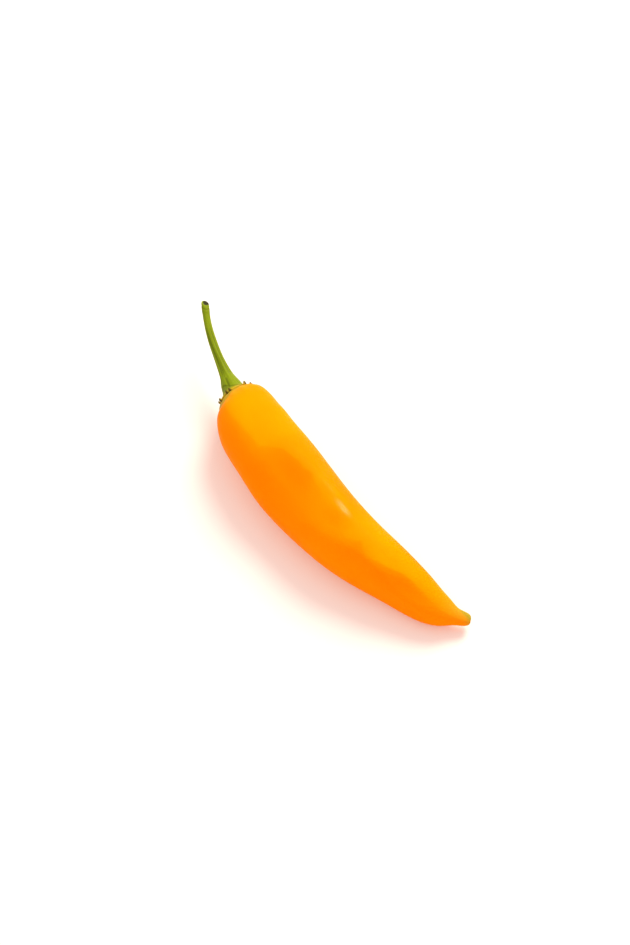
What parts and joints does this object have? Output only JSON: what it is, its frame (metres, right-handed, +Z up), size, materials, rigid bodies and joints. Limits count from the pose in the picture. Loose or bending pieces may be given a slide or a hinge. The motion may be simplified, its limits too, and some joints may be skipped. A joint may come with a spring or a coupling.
{
  "type": "aji amarillo pepper",
  "caption": "Ripe orange chilli pepper lying on its side: a long tapered, slightly curved pod with a blunt tip and a curved green ribbed stalk with a toothed calyx.",
  "frame": {"origin": "middle of the footprint, on the plane that the pepper lies on", "axes": "+X along the pepper from the stalk towards the tip, +Z up"},
  "size_m": [0.1512, 0.0336, 0.026],
  "materials": {
    "skin": "satin waxy pepper skin, deep yellow-orange",
    "stalk": "matt green ribbed stalk and calyx with brown dried edges"
  },
  "bodies": {
    "root": {"pod": "skin", "stalk": "stalk"}
  },
  "joints": []
}
